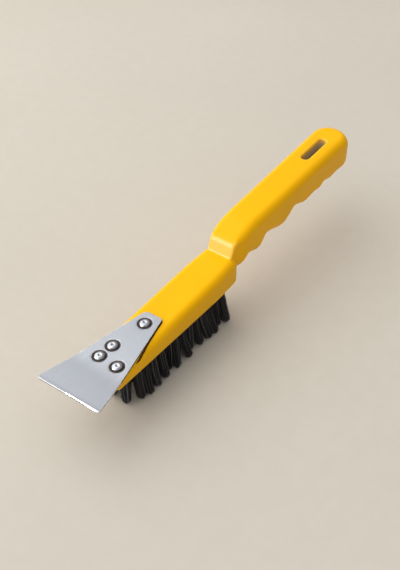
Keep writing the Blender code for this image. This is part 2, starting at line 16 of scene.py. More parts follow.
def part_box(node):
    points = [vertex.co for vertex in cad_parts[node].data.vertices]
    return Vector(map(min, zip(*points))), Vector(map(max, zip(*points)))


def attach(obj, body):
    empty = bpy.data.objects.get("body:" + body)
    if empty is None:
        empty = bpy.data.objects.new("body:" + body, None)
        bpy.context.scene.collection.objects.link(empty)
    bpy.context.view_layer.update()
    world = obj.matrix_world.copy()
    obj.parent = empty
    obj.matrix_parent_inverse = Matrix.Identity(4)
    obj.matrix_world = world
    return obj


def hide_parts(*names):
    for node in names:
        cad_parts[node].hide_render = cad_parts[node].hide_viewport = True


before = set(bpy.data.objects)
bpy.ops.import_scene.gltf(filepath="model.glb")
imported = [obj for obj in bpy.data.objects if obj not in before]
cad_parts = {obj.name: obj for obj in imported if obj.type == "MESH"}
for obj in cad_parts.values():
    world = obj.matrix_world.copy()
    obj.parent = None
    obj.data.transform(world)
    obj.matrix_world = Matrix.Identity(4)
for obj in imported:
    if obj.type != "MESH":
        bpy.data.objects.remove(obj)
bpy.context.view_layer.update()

# Sizes shared with the solids
EDGE_SKEW = 0.0010
EDGE_SKEW_REACH = 0.0200
BLADE_REACH = 0.0250
BLOCK_LENGTH = 0.1235
GRIP_LENGTH = 0.1436
OVERALL_LENGTH = EDGE_SKEW / 2 + BLADE_REACH + BLOCK_LENGTH + GRIP_LENGTH
EDGE_X = (EDGE_SKEW - OVERALL_LENGTH) / 2
TOE_X = EDGE_X + BLADE_REACH
HEEL_X = TOE_X + BLOCK_LENGTH
END_X = HEEL_X + GRIP_LENGTH
BLOCK_BOTTOM = 0.0268
BLOCK_WIDTH = 0.0274
TOE_THICKNESS = 0.0105
BLOCK_TILT = math.radians(3.95)
TOE_CORNER = 0.0045
TOE_EDGE = 0.0022
SHOULDER_LENGTH = 0.0290
HEEL_WIDTH = 0.0250
HEEL_CORNER = 0.0050
HEEL_ROUND = 0.0060
BLOCK_TOP_FILLET = 0.0050
BLOCK_BOTTOM_FILLET = 0.0012
NECK_SETBACK = 0.0058
NECK_WIDTH = 0.0186
NECK_RISE = 0.0101
NECK_SLOPE = math.radians(71)
NECK_TILT = math.radians(24)
NECK_ROUND = 0.0072
NECK_FILLET = 0.0012
NECK_ROOT = 0.0018
GRIP_WIDTH_NECK = 0.0240
GRIP_WIDTH_END = 0.0274
GRIP_TILT = math.radians(3.7)
GRIP_EASING = 0.0228
GRIP_UNDERSIDE = 0.0065
UNDERSIDE_TILT_NECK = math.radians(6.6)
UNDERSIDE_TILT_END = math.radians(1.7)
GRIP_SWELL = 0.0150
GRIP_TOP_FILLET = 0.0056
GRIP_BOTTOM_FILLET = 0.0065
END_CORNER = 0.0128
END_TOP_ROUND = 0.0086
END_BOTTOM_ROUND = 0.0085
END_FILLET = 0.0104
END_BLEND = 0.0160
FINGER_RIDGES = (
    (0.0110, 0.0034, -0.0004),
    (0.0311, 0.0054, -0.0005),
    (0.0656, 0.0052, 0.0003),
    (0.0915, 0.0010, 0.0),
    (0.1042, 0.0022, 0.0003),
    (0.1212, 0.0008, 0.0),
)
FINGER_SKEW = 1.5
SLOT_LENGTH = 0.0280
SLOT_WIDTH = 0.0060
SLOT_CORNER = 0.0027
SLOT_RIM = 0.0010
SLOT_END_MARGIN = 0.0215
BLADE_LENGTH = 0.0764
BLADE_FRONT_WIDTH = 0.0463
BLADE_REAR_WIDTH = 0.0127
BLADE_THICKNESS = 0.0012
BLADE_FRONT_CORNER = 0.0017
BLADE_REAR_CORNER_LEFT = 0.0045
BLADE_REAR_CORNER_RIGHT = 0.0018
BEND_START = 0.0290
BEND_LENGTH = 0.0080
BEND_ANGLE = math.radians(5.9)
GRIND_LENGTH = 0.0005
GRIND_DEPTH = 0.0003
RIVETS = {
    "rivet_front_left": (0.0330, 0.0055),
    "rivet_front_right": (0.0326, -0.0082),
    "rivet_middle_left": (0.0434, 0.0045),
    "rivet_rear": (0.0677, 0.0003),
}
RIVET_HEAD_RADIUS = 0.0033
RIVET_HEAD_HEIGHT = 0.0011
RIVET_SHANK_RADIUS = 0.0015
RIVET_GRIP_DEPTH = 0.0042
SEAT_RADIUS = 0.0046
SEAT_DEPTH = 0.0005
CLEARANCE = 0.0003
TUFT_COLUMNS = 14
TUFT_PITCH = 0.0070
TUFT_TOE_MARGIN = 0.0175
ROW_PITCH = 0.0080
TOE_ROW_SHARE = 0.5
TUFT_HOLE_RADIUS = 0.0023
TUFT_HOLE_DEPTH = 0.0062
ROW_LEAN = 0.0024
END_LEAN = 0.0016
TUFT_ROWS = {"right": -1, "middle": 0, "left": 1}

# Fineness of the pieces
ARC_STEPS = 10
END_STEPS = 14
SLOT_STEPS = 24
RIM_STEPS = 6               # of the slot's rounded rims
CORNER_STEPS = 8            # of the blade's corners
HOLE_SIDES = 24
SEAT_SIDES = 64
RIVET_SIDES = 48
SECTION_STEP = 0.0012       # between the moulding's sections
NECK_STEP = 0.0005          # between its sections on the neck's face
VOXEL = 0.00055             # of the moulding's skin
LINES_ACROSS = (-0.0221, 0.0230, 0.0015)    # first, end and step of the blade's mesh lines
LINES_ALONG = (0.003, 0.0765, 0.0015)
SOFTENING_ROUNDS = 4

# Fine shapes, wear and painted light
SLOT_OVERRUN = 0.004        # of the slot's cutter past both faces
SLOT_RIM_SPARE = 0.0001     # by which that cutter is wider outside the faces
SLOT_WALL_MARGIN = 0.0004   # round the slot, for the points that count as its wall
SOFT_RIM = 0.00012          # rounding of the blade's rims
SEAT_LIP = 0.0003           # rounded lip of a seat, past its radius
DENT_DEPTH = 0.00010        # of the blade's dent round each rivet
DENT_REACH = 0.0062
SOFT_BEND = 35.0            # curvature at which an edge begins to take its wear and painted highlight, per metre
CRISP_BEND = 150.0          # and at which they are full
BEND_ROUNDS = 3             # of smoothing of that curvature
RIM_WEAR_AND_SHEEN = 0.0006           # width of the blade's rubbed rim, painted bright as wear and a painted highlight
WORN_SHADED_FRONT = 0.0032         # over which the blade's darker front fades out: partly wear, partly painted shade
FLAT_TOP = 0.95             # a face whose normal rises more than this isn't ground
SLOT_SHADE_DEPTH = 0.010     # depth at which the painted shade on the slot's wall is full
SHADOW_START = 0.0002        # from the blade's side, where the painted shadow on the plastic begins to fade
SHADOW_FADE = 0.0007
SHADOW_LOW = -0.0030         # and its lowest and highest place from the block's top
SHADOW_HIGH = 0.0005
SEAT_SHADE_FADE = 0.0003    # of the painted shade round a rivet's head

CREASE_X = HEEL_X - NECK_SETBACK


def block_top(x):
    return BLOCK_BOTTOM + TOE_THICKNESS + (x - TOE_X) * math.tan(BLOCK_TILT)


CREASE_Z = block_top(CREASE_X)
NECK_RUN = NECK_RISE / math.tan(NECK_SLOPE)
NECK_TANGENT = NECK_ROUND * math.tan((NECK_SLOPE - NECK_TILT) / 2)
NECK_END_X = CREASE_X + NECK_RUN + NECK_TANGENT * math.cos(NECK_TILT)
NECK_END_Z = CREASE_Z + NECK_RISE + NECK_TANGENT * math.sin(NECK_TILT)


def grip_top(x):
    along = x - NECK_END_X
    eased = min(along, GRIP_EASING)
    extra = math.tan(NECK_TILT) - math.tan(GRIP_TILT)
    return NECK_END_Z + along * math.tan(GRIP_TILT) + extra * (eased - eased * eased / (2 * GRIP_EASING))


def round_off(distance, radius):
    if distance >= radius:
        return 0.0
    reach = radius - max(distance, 0.0)
    return radius - math.sqrt(radius * radius - reach * reach)


def end_stations(radius):
    return [radius * (1 - math.cos(math.pi / 2 * k / END_STEPS)) for k in range(END_STEPS + 1)]


def smooth_step(t):
    t = min(max(t, 0.0), 1.0)
    return t * t * (3 - 2 * t)


def rounded_section(half_width, top, bottom, top_fillet, bottom_fillet):
    """Outline (y, z) of one section of the moulding."""
    largest = min(0.9 * half_width, 0.45 * (top - bottom))
    top_radius = min(top_fillet, largest)
    bottom_radius = min(bottom_fillet, largest)
    corners = (
        (half_width - top_radius, top - top_radius, top_radius, 0.0),
        (top_radius - half_width, top - top_radius, top_radius, 0.5 * math.pi),
        (bottom_radius - half_width, bottom + bottom_radius, bottom_radius, math.pi),
        (half_width - bottom_radius, bottom + bottom_radius, bottom_radius, 1.5 * math.pi),
    )
    outline = []
    for y, z, radius, start in corners:
        for k in range(ARC_STEPS + 1):
            angle = start + 0.5 * math.pi * k / ARC_STEPS
            outline.append((y + radius * math.cos(angle), z + radius * math.sin(angle)))
    return outline


def skin_rings(rings):
    """A closed bmesh from rings of points, with faces between them."""
    shape = bmesh.new()
    made = [[shape.verts.new(point) for point in ring] for ring in rings]
    for ring, following in zip(made, made[1:]):
        for k in range(len(ring)):
            nxt = (k + 1) % len(ring)
            shape.faces.new((ring[k], ring[nxt], following[nxt], following[k]))
    shape.faces.new(made[0])
    shape.faces.new(made[-1])
    bmesh.ops.recalc_face_normals(shape, faces=shape.faces)
    return shape


def loft(sections):
    return skin_rings([[(x, y, z) for y, z in outline] for x, outline in sections])


def put(name, shape, material=None):
    """Make an object of a bmesh."""
    mesh = bpy.data.meshes.new(name)
    shape.to_mesh(mesh)
    shape.free()
    item = bpy.data.objects.new(name, mesh)
    bpy.context.scene.collection.objects.link(item)
    if material:
        mesh.materials.append(material)
    return item


def settle(item, *tools):
    """Apply an object's modifiers to its mesh and remove the tools that they used."""
    bpy.context.view_layer.update()
    evaluated = item.evaluated_get(bpy.context.evaluated_depsgraph_get())
    mesh = bpy.data.meshes.new_from_object(evaluated)
    item.modifiers.clear()
    item.data = mesh
    for tool in tools:
        bpy.data.objects.remove(tool, do_unlink=True)


def boolean(item, tool, operation="DIFFERENCE"):
    modifier = item.modifiers.new(tool.name, "BOOLEAN")
    modifier.operation = operation
    modifier.solver = "EXACT"
    modifier.object = tool


def smooth_shade(item, angle):
    item.data.shade_smooth()
    item.data.set_sharp_from_angle(angle=math.radians(angle))


def points_of(item):
    coords = np.empty(3 * len(item.data.vertices))
    item.data.vertices.foreach_get("co", coords)
    return coords.reshape(-1, 3)


def mark(item, name, values):
    """Keep one value per vertex, for the item's material."""
    item.data.attributes.new(name, "FLOAT", "POINT").data.foreach_set("value", np.clip(values, 0.0, 1.0))


def from_outline(flat, outline):
    """Distance of flat points from a closed outline."""
    corners = np.array(outline)
    nearest = np.full(len(flat), np.inf)
    for corner, side in zip(corners, np.roll(corners, -1, 0) - corners):
        share = np.clip((flat - corner) @ side / (side @ side), 0, 1)
        nearest = np.minimum(nearest, np.linalg.norm(flat - corner - share[:, None] * side, axis=1))
    return nearest


# Node materials


class Nodes:
    """Short calls to build one material's nodes."""

    def __init__(self, name):
        self.material = bpy.data.materials.new(name)
        self.material.use_nodes = True
        self.tree = self.material.node_tree
        self.shader = self.tree.nodes["Principled BSDF"]
        self.place = self.add("ShaderNodeTexCoord").outputs["Object"]

    def add(self, kind, **settings):
        node = self.tree.nodes.new(kind)
        for key, value in settings.items():
            setattr(node, key, value)
        return node

    def link(self, source, target):
        self.tree.links.new(source, target)

    def stretched(self, scale):
        node = self.add("ShaderNodeMapping")
        node.inputs["Scale"].default_value = scale
        self.link(self.place, node.inputs["Vector"])
        return node.outputs["Vector"]

    def noise(self, scale, detail=3.0, roughness=0.5, vector=None):
        node = self.add("ShaderNodeTexNoise")
        node.inputs["Scale"].default_value = scale
        node.inputs["Detail"].default_value = detail
        node.inputs["Roughness"].default_value = roughness
        self.link(vector or self.place, node.inputs["Vector"])
        return node.outputs["Fac"]

    def mark(self, name):
        return self.add("ShaderNodeAttribute", attribute_name=name).outputs["Fac"]

    def ragged(self, name, scale, reach, low, high):
        """A mark with its border broken up by noise."""
        uneven = self.spread(self.noise(scale, 4.0, 0.65), 0.3, 0.7, -reach, reach)
        return self.spread(self.maths("ADD", self.mark(name), uneven), low, high)

    def spread(self, value, low, high, to_low=0.0, to_high=1.0):
        node = self.add("ShaderNodeMapRange", clamp=True)
        node.inputs["From Min"].default_value = low
        node.inputs["From Max"].default_value = high
        node.inputs["To Min"].default_value = to_low
        node.inputs["To Max"].default_value = to_high
        self.link(value, node.inputs["Value"])
        return node.outputs["Result"]

    def maths(self, operation, first, second):
        node = self.add("ShaderNodeMath", operation=operation)
        for socket, value in zip(node.inputs, (first, second)):
            if isinstance(value, (int, float)):
                socket.default_value = value
            else:
                self.link(value, socket)
        return node.outputs["Value"]

    def blend(self, amount, first, second):
        node = self.add("ShaderNodeMix", data_type="RGBA")
        self.link(amount, node.inputs[0])
        for socket, value in ((node.inputs[6], first), (node.inputs[7], second)):
            if isinstance(value, tuple):
                socket.default_value = (*value, 1.0)
            else:
                self.link(value, socket)
        return node.outputs[2]

    def bump(self, height, distance, strength, below=None):
        node = self.add("ShaderNodeBump")
        node.inputs["Strength"].default_value = strength
        node.inputs["Distance"].default_value = distance
        self.link(height, node.inputs["Height"])
        if below:
            self.link(below, node.inputs["Normal"])
        return node.outputs["Normal"]

    def set(self, **values):
        for key, value in values.items():
            socket = self.shader.inputs[key.replace("_", " ")]
            if isinstance(value, tuple):
                socket.default_value = (*value, 1.0)
            elif isinstance(value, (int, float)):
                socket.default_value = value
            else:
                self.link(value, socket)


def yellow_plastic():
    n = Nodes("yellow_plastic_satin")
    cloud = n.noise(22, 2.0)
    colour = n.blend(n.spread(cloud, 0.35, 0.65), (0.950, 0.480, 0.001), (0.990, 0.508, 0.002))
    # Painted shade: the slot's wall turns grey-brown with depth
    slot_shade = n.blend(n.spread(n.noise(300), 0.3, 0.7), (0.42, 0.36, 0.23), (0.52, 0.46, 0.31))
    colour = n.blend(n.spread(n.mark("slot_depth"), 0.05, 0.45), colour, slot_shade)
    # Paler edges: partly wear, partly a painted highlight along the rims
    worn = n.ragged("edge_wear_and_sheen", 420, 0.45, 0.45, 0.85)
    colour = n.blend(n.maths("MULTIPLY", worn, 0.55), colour, (1.0, 0.60, 0.075))
    # Painted shadow: a dark brown line on the plastic along the blade's sides, under its overhang
    painted_shade = n.ragged("painted_shade", 500, 0.25, 0.35, 0.75)
    colour = n.blend(painted_shade, colour, (0.085, 0.030, 0.006))
    rub = n.noise(70, 4.0, 0.6)
    fine = n.noise(1500, 2.0)
    rough = n.maths("ADD", n.spread(rub, 0.3, 0.7, 0.30, 0.38), n.spread(fine, 0.3, 0.7, -0.02, 0.03))
    rough = n.maths("ADD", rough, n.maths("MULTIPLY", worn, 0.22))
    swell = n.bump(n.noise(45, 1.0), 0.0004, 0.25)
    grain = n.bump(n.noise(2600, 2.0), 0.00002, 0.6, swell)
    n.set(Base_Color=colour, Roughness=rough, Normal=grain)
    n.set(Specular_IOR_Level=0.085)
    return n.material


def blade_steel():
    n = Nodes("satin_blade_steel")
    streak = n.noise(60, 4.0, 0.65, n.stretched((1.2, 26.0, 8.0)))
    blot = n.noise(55, 3.0, 0.6)
    scratch = n.spread(n.noise(34, 2.0, 0.5, n.stretched((1.6, 30.0, 6.0))), 0.66, 0.70)
    colour = n.blend(n.spread(blot, 0.35, 0.7), (0.345, 0.362, 0.396), (0.318, 0.336, 0.370))
    # Darker towards the front edge: partly wear, partly painted shade
    colour = n.blend(n.mark("front"), colour, (0.270, 0.286, 0.316))
    colour = n.blend(n.maths("MULTIPLY", scratch, 0.25), colour, (0.52, 0.53, 0.55))
    # Brighter rim: partly wear, partly a painted highlight along the blade's edges
    worn = n.ragged("rim_wear_and_sheen", 380, 0.45, 0.50, 0.85)
    colour = n.blend(n.maths("MULTIPLY", worn, 0.8), colour, (0.72, 0.72, 0.72))
    # Painted shade: dark brown on the blade's sides over the block and in the seats round the rivet heads,
    # rougher and less metallic there
    painted_shade = n.ragged("painted_shade", 600, 0.30, 0.35, 0.75)
    colour = n.blend(painted_shade, colour, (0.030, 0.016, 0.010))
    rough = n.maths("ADD", n.spread(blot, 0.3, 0.7, 0.42, 0.50), n.spread(streak, 0.3, 0.7, -0.04, 0.05))
    rough = n.maths("SUBTRACT", rough, n.maths("MULTIPLY", worn, 0.10))
    rough = n.maths("ADD", rough, n.maths("MULTIPLY", painted_shade, 0.25))
    dents = n.bump(n.noise(28, 1.0), 0.0006, 0.20)
    lines = n.bump(streak, 0.00003, 0.35, dents)
    n.set(Base_Color=colour, Roughness=rough, Normal=lines)
    n.set(Metallic=n.spread(painted_shade, 0.0, 1.0, 1.0, 0.2))
    return n.material


def ground_steel():
    n = Nodes("ground_edge_steel")
    lines = n.noise(900, 2.0, 0.6, n.stretched((1.0, 0.05, 1.0)))
    nicks = n.spread(n.noise(420, 3.0, 0.6), 0.60, 0.68)
    # Painted shade: the ground face is coloured far darker than steel, which dims its highlight
    colour = n.blend(n.spread(lines, 0.3, 0.7), (0.140, 0.140, 0.143), (0.115, 0.116, 0.119))
    colour = n.blend(n.maths("MULTIPLY", nicks, 0.5), colour, (0.070, 0.070, 0.072))
    # Painted shade: the lower half of the ground face is painted near-black, so only a thin upper line shows
    # its highlight
    n.set(Base_Color=n.blend(n.spread(n.mark("low"), 0.45, 0.62), colour, (0.016, 0.015, 0.014)))
    n.set(Roughness=n.spread(lines, 0.3, 0.7, 0.62, 0.72), Normal=n.bump(lines, 0.00002, 0.5))
    n.set(Metallic=1.0)
    return n.material


def rivet_steel():
    n = Nodes("bright_rivet_steel")
    pits = n.noise(1400, 3.0, 0.6)
    blot = n.noise(500, 2.0)
    colour = n.blend(n.spread(blot, 0.35, 0.7), (0.44, 0.45, 0.48), (0.28, 0.30, 0.34))
    worn = n.ragged("crown", 700, 0.35, 0.55, 0.90)
    colour = n.blend(n.maths("MULTIPLY", worn, 0.7), colour, (0.62, 0.62, 0.64))
    # Painted shade: dark on the head's outer ring and in its central dimple, rougher and less metallic there
    painted_shade = n.ragged("painted_shade", 330, 0.60, 0.62, 0.95)
    colour = n.blend(painted_shade, colour, (0.060, 0.055, 0.055))
    rough = n.maths("ADD", n.spread(blot, 0.3, 0.7, 0.12, 0.22), n.maths("MULTIPLY", painted_shade, 0.30))
    n.set(Base_Color=colour, Roughness=rough)
    n.set(Normal=n.bump(pits, 0.00003, 0.5))
    n.set(Metallic=n.spread(painted_shade, 0.0, 1.0, 1.0, 0.3))
    return n.material


def dark_wire():
    n = Nodes("dark_tempered_wire")
    fine = n.noise(1800, 2.0)
    blot = n.noise(420, 3.0, 0.6)
    # Tone differs at random from wire to wire; the few bright bluish wires are painted highlight streaks
    colour = n.blend(n.mark("tone"), (0.024, 0.024, 0.027), (0.150, 0.160, 0.185))
    colour = n.blend(n.spread(blot, 0.45, 0.75, 0.0, 0.5), colour, (0.050, 0.036, 0.028))
    worn = n.ragged("tip", 900, 0.3, 0.45, 0.85)
    colour = n.blend(n.maths("MULTIPLY", worn, 0.6), colour, (0.20, 0.20, 0.21))
    n.set(Base_Color=colour, Roughness=n.spread(fine, 0.3, 0.7, 0.26, 0.42))
    n.set(Normal=n.bump(fine, 0.00002, 0.4))
    n.set(Metallic=0.75)
    return n.material


# The moulding


def block_half_width(x):
    taper = smooth_step((x - HEEL_X + SHOULDER_LENGTH) / SHOULDER_LENGTH)
    straight = BLOCK_WIDTH / 2 + taper * (HEEL_WIDTH - BLOCK_WIDTH) / 2
    return straight - round_off(x - TOE_X, TOE_CORNER) - round_off(HEEL_X - x, HEEL_CORNER)


def block_section(x):
    top = block_top(x) - round_off(x - TOE_X, TOE_EDGE) - round_off(HEEL_X - x, BLOCK_TOP_FILLET)
    bottom = BLOCK_BOTTOM + round_off(x - TOE_X, TOE_EDGE) + round_off(HEEL_X - x, HEEL_ROUND)
    return rounded_section(block_half_width(x), top, bottom, BLOCK_TOP_FILLET, BLOCK_BOTTOM_FILLET)


def between(start, end, step):
    count = max(1, round((end - start) / step))
    return [start + (end - start) * k / count for k in range(1, count)]


def make_block():
    stations = [TOE_X + d for d in end_stations(TOE_CORNER)]
    stations += between(TOE_X + TOE_CORNER, HEEL_X - HEEL_ROUND, SECTION_STEP)
    stations += [HEEL_X - d for d in reversed(end_stations(HEEL_ROUND))]
    return loft([(x, block_section(x)) for x in stations])


def neck_centre():
    return NECK_END_X + NECK_ROUND * math.sin(NECK_TILT), NECK_END_Z - NECK_ROUND * math.cos(NECK_TILT)


def neck_arc_x(angle):
    return neck_centre()[0] - NECK_ROUND * math.sin(angle)


def grip_top_line(x):
    centre_x, centre_z = neck_centre()
    if x < neck_arc_x(NECK_SLOPE):
        return CREASE_Z + (x - CREASE_X) * math.tan(NECK_SLOPE)
    if x < NECK_END_X:
        return centre_z + math.sqrt(NECK_ROUND ** 2 - (x - centre_x) ** 2)
    return grip_top(x) - round_off(END_X - x, END_TOP_ROUND)


def finger_rise(x):
    stops = [(HEEL_X - NECK_SETBACK, 0.0, 0.0)]
    stops += [(HEEL_X + place, height, bulge) for place, height, bulge in FINGER_RIDGES]
    stops.append((END_X, 0.0, 0.0))
    for (start, start_rise, bulge), (end, end_rise, _) in zip(stops, stops[1:]):
        if start <= x <= end:
            t = ((x - start) / (end - start)) ** FINGER_SKEW
            wave = math.sin(math.pi * t)
            rise = start_rise if t < 0.5 else end_rise
            return rise * (1 - wave) * (1 + wave / 2) + bulge * wave
    return 0.0


def grip_bottom_line(x):
    along = x - HEEL_X
    easing = (math.tan(UNDERSIDE_TILT_NECK) - math.tan(UNDERSIDE_TILT_END)) / (2 * (END_X - HEEL_X))
    line = BLOCK_BOTTOM + GRIP_UNDERSIDE + along * math.tan(UNDERSIDE_TILT_NECK) - easing * along * along
    return line + finger_rise(x) + round_off(END_X - x, END_BOTTOM_ROUND)


def grip_section(x):
    swell = smooth_step((x - CREASE_X) / GRIP_SWELL)
    full_width = GRIP_WIDTH_NECK + (GRIP_WIDTH_END - GRIP_WIDTH_NECK) * (x - CREASE_X) / (END_X - CREASE_X)
    half_width = (NECK_WIDTH + swell * (full_width - NECK_WIDTH)) / 2
    half_width -= round_off(END_X - x, END_CORNER)
    top_fillet = NECK_FILLET + swell * (GRIP_TOP_FILLET - NECK_FILLET)
    top_fillet += smooth_step((x - END_X + END_BLEND) / END_BLEND) * (END_FILLET - GRIP_TOP_FILLET)
    return rounded_section(half_width, grip_top_line(x), grip_bottom_line(x), top_fillet, GRIP_BOTTOM_FILLET)


def make_grip():
    arc = [neck_arc_x(NECK_SLOPE - (NECK_SLOPE - NECK_TILT) * k / END_STEPS) for k in range(END_STEPS + 1)]
    stations = [CREASE_X - NECK_ROOT, CREASE_X] + between(CREASE_X, arc[0], NECK_STEP) + arc
    stations += between(arc[-1], END_X - END_CORNER, SECTION_STEP)
    stations += [END_X - d for d in reversed(end_stations(END_CORNER))]
    return loft([(x, grip_section(x)) for x in stations])


def slot_middle():
    return END_X - SLOT_END_MARGIN - SLOT_LENGTH / 2


def slot_outline(growth):
    radius = SLOT_CORNER + growth
    half_x = SLOT_LENGTH / 2 - SLOT_CORNER
    half_y = SLOT_WIDTH / 2 - SLOT_CORNER
    outline = []
    for index, (sign_x, sign_y) in enumerate(((1, 1), (-1, 1), (-1, -1), (1, -1))):
        for k in range(ARC_STEPS + 1):
            angle = 0.5 * math.pi * (index + k / ARC_STEPS)
            outline.append((sign_x * half_x + radius * math.cos(angle),
                            sign_y * half_y + radius * math.sin(angle)))
        if index % 2 == 0:
            for k in range(1, SLOT_STEPS):
                outline.append((sign_x * half_x * (1 - 2 * k / SLOT_STEPS), sign_y * (half_y + radius)))
    return outline


def make_slot():
    """The hang slot's cutter, with rounded rims at both faces."""
    middle = slot_middle()
    outside = SLOT_RIM + SLOT_RIM_SPARE
    turns = [0.5 * math.pi * k / RIM_STEPS for k in range(RIM_STEPS + 1)]
    flare = [(SLOT_RIM * (1 - math.sin(a)), SLOT_RIM * (1 - math.cos(a))) for a in turns]
    flare[0] = (outside, -0.00003)
    levels = [(outside, lambda x: grip_bottom_line(middle) - SLOT_OVERRUN)]
    levels += [(growth, lambda x, d=drop: grip_bottom_line(x) + d) for growth, drop in flare]
    levels += [(growth, lambda x, d=drop: grip_top(x) - d) for growth, drop in reversed(flare)]
    levels.append((outside, lambda x: grip_top(x) + SLOT_OVERRUN))
    return skin_rings([[(middle + x, y, height(middle + x)) for x, y in slot_outline(growth)]
                       for growth, height in levels])


def tuft_x(column):
    return TOE_X + TUFT_TOE_MARGIN + column * TUFT_PITCH


def tuft_places():
    for row_name, row in TUFT_ROWS.items():
        for column in range(TUFT_COLUMNS):
            if column:
                yield f"tuft_{row_name}_{column + 1:02d}", column, row
            elif row:
                yield f"tuft_{row_name}_01", column, row * TOE_ROW_SHARE


def make_holes():
    """Blind holes for the tufts and for the rivets' shanks."""
    shape = bmesh.new()
    for _, column, row in tuft_places():
        place = Matrix.Translation((tuft_x(column), row * ROW_PITCH, BLOCK_BOTTOM))
        bmesh.ops.create_cone(shape, cap_ends=True, segments=HOLE_SIDES, matrix=place,
                              radius1=TUFT_HOLE_RADIUS, radius2=TUFT_HOLE_RADIUS, depth=2 * TUFT_HOLE_DEPTH)
    hole = RIVET_SHANK_RADIUS + CLEARANCE
    for along, across in RIVETS.values():
        place = blade_frame() @ Matrix.Translation((along, across, 0))
        bmesh.ops.create_cone(shape, cap_ends=True, segments=HOLE_SIDES, matrix=place,
                              radius1=hole, radius2=hole, depth=2 * (RIVET_GRIP_DEPTH + CLEARANCE))
    return shape


def make_handle(material):
    """Block, neck and grip as one skin, its inner corners softened as in a mould."""
    handle = put("handle_body", make_block(), material)
    grip = put("grip_form", make_grip())
    slot = put("slot_form", make_slot())
    holes = put("hole_form", make_holes())
    boolean(handle, grip, "UNION")
    boolean(handle, slot)
    boolean(handle, holes)
    remesh = handle.modifiers.new("skin", "REMESH")
    remesh.mode = "VOXEL"
    remesh.voxel_size = VOXEL
    relax = handle.modifiers.new("soften", "SMOOTH")
    relax.factor = 0.5
    relax.iterations = SOFTENING_ROUNDS
    settle(handle, grip, slot, holes)
    handle.data.materials.clear()
    handle.data.materials.append(material)
    handle.data.shade_smooth()
    keep_in_box(handle, "handle_block")
    mark_slot(handle)
    mark_edges(handle)
    mark_blade_shadow(handle)
    return handle


def keep_in_box(item, node):
    """Scale a piece by the few hundredths of a millimetre that put it back in its node's box."""
    low, high = (Vector(corner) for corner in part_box(node))
    coords = points_of(item)
    mine_low, mine_high = coords.min(0), coords.max(0)
    share = (np.array(high) - np.array(low)) / (mine_high - mine_low)
    coords = np.array(low) + (coords - mine_low) * share
    item.data.vertices.foreach_set("co", coords.ravel())
    item.data.update()


def mark_edges(item):
    """Mark the crisp outer edges, where a hand and the bench rub the piece, for their wear and a painted
    highlight.
    """
    coords = points_of(item)
    normals = np.empty(coords.size)
    item.data.vertices.foreach_get("normal", normals)
    normals = normals.reshape(-1, 3)
    pairs = np.empty(2 * len(item.data.edges), dtype=int)
    item.data.edges.foreach_get("vertices", pairs)
    first, second = pairs.reshape(-1, 2).T
    step = coords[second] - coords[first]
    square = np.maximum((step * step).sum(1), 1e-12)
    count = len(coords)
    degree = np.bincount(first, minlength=count) + np.bincount(second, minlength=count)
    bend = np.bincount(first, -(normals[first] * step).sum(1) / square, count)
    bend += np.bincount(second, (normals[second] * step).sum(1) / square, count)
    bend /= np.maximum(degree, 1)
    for _ in range(BEND_ROUNDS):
        around = np.bincount(first, bend[second], count) + np.bincount(second, bend[first], count)
        bend = 0.5 * bend + 0.5 * around / np.maximum(degree, 1)
    mark(item, "edge_wear_and_sheen", (bend - SOFT_BEND) / (CRISP_BEND - SOFT_BEND))


def mark_blade_shadow(handle):
    """Mark the line of painted shadow on the plastic along the blade's sides, where the blade's overhang
    shades it.
    """
    turn = np.array(blade_frame().to_3x3())
    local = points_of(handle) @ turn
    local -= np.array(blade_frame().translation) @ turn
    values = 1 - (from_outline(local[:, :2], blade_outline()) - SHADOW_START) / SHADOW_FADE
    values[(local[:, 2] < SHADOW_LOW) | (local[:, 2] > SHADOW_HIGH) | (local[:, 0] < BLADE_REACH)] = 0
    mark(handle, "painted_shade", values)


def mark_slot(handle):
    """Mark how deep each point lies inside the hang slot, for the painted shade on its wall."""
    middle = slot_middle()
    half_length = SLOT_LENGTH / 2 + SLOT_WALL_MARGIN
    half_width = SLOT_WIDTH / 2 + SLOT_WALL_MARGIN
    values = []
    for vert in handle.data.vertices:
        x, y, z = vert.co
        inside = abs(x - middle) < half_length and abs(y) < half_width
        from_face = min(grip_top(x) - z, z - grip_bottom_line(x))
        values.append(min(max(from_face / SLOT_SHADE_DEPTH, 0.0), 1.0) if inside else 0.0)
    mark(handle, "slot_depth", values)


# The blade and rivets


def corner_arc(centre, radius, begin, turn):
    angles = [begin + turn * k / CORNER_STEPS for k in range(CORNER_STEPS + 1)]
    return [(centre[0] + radius * math.cos(a), centre[1] + radius * math.sin(a)) for a in angles]


def blade_side(rear_corner):
    taper = math.atan2((BLADE_FRONT_WIDTH - BLADE_REAR_WIDTH) / 2, BLADE_LENGTH)
    quarter = math.pi / 2
    front_set = BLADE_FRONT_CORNER * math.tan((quarter + taper) / 2)
    rear_set = rear_corner * math.tan((quarter - taper) / 2)
    front_centre = (BLADE_FRONT_CORNER, BLADE_FRONT_WIDTH / 2 - front_set)
    rear_centre = (BLADE_LENGTH - rear_corner, BLADE_REAR_WIDTH / 2 - rear_set)
    side = corner_arc(front_centre, BLADE_FRONT_CORNER, math.pi, -quarter - taper)
    return side + corner_arc(rear_centre, rear_corner, quarter - taper, taper - quarter)


def blade_outline():
    left = blade_side(BLADE_REAR_CORNER_LEFT)
    right = [(x, -y) for x, y in blade_side(BLADE_REAR_CORNER_RIGHT)]
    return left + right[::-1]


